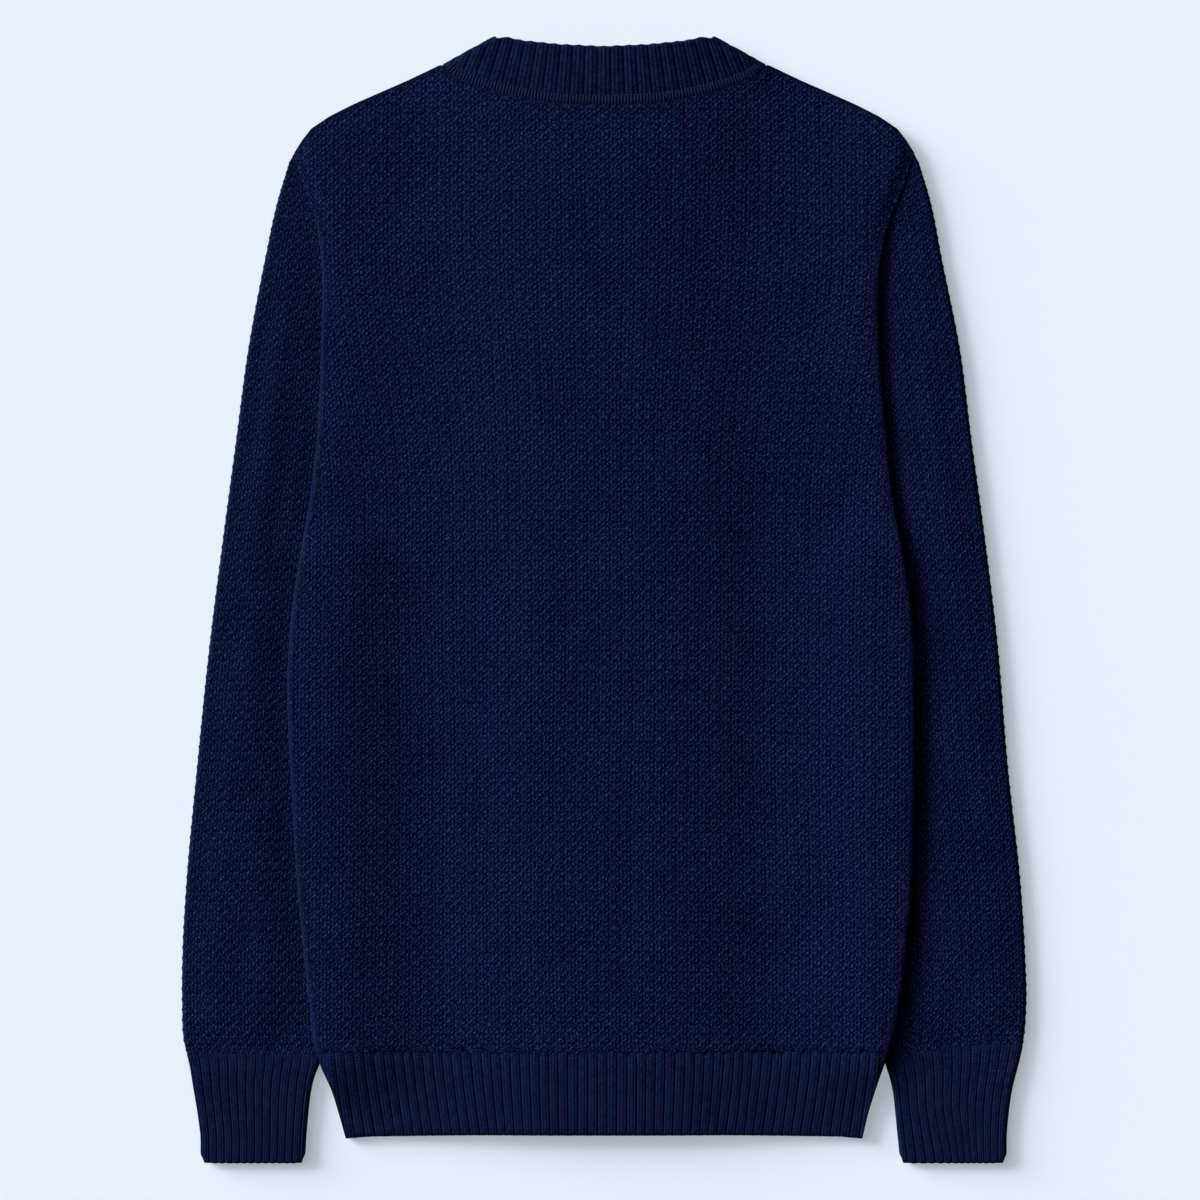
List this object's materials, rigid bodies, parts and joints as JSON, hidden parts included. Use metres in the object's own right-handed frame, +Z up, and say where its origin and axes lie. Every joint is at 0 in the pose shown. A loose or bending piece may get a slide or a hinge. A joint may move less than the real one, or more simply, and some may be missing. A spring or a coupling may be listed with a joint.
{
  "type": "cardigan",
  "caption": "Long-sleeved knitted cardigan with ribbed hem, cuffs and crew neckband, buttoned and laid flat on its front.",
  "frame": {"origin": "on the surface the garment lies on, under the middle of its outline", "axes": "+X to the wearer's right, +Y from the hem to the neck, +Z up from the surface, out of the garment's back"},
  "size_m": [0.5566, 0.7426, 0.0123],
  "materials": {
    "navy_knit": "matte textured wool or cotton knit",
    "navy_rib": "matte ribbed knit",
    "button_horn": "satin, dyed to match the yarn"
  },
  "bodies": {
    "root": {"back": "navy_knit", "front_left": "navy_knit", "front_right": "navy_knit", "sleeve_left": "navy_knit", "sleeve_right": "navy_knit", "hem_back": "navy_rib", "hem_front_left": "navy_rib", "hem_front_right": "navy_rib", "cuff_left": "navy_rib", "cuff_right": "navy_rib", "neckband": "navy_rib", "button_band_left": "navy_rib", "button_band_right": "navy_rib", "button_1": "button_horn", "button_2": "button_horn", "button_3": "button_horn", "button_4": "button_horn", "button_5": "button_horn", "button_6": "button_horn", "button_7": "button_horn"}
  },
  "joints": []
}
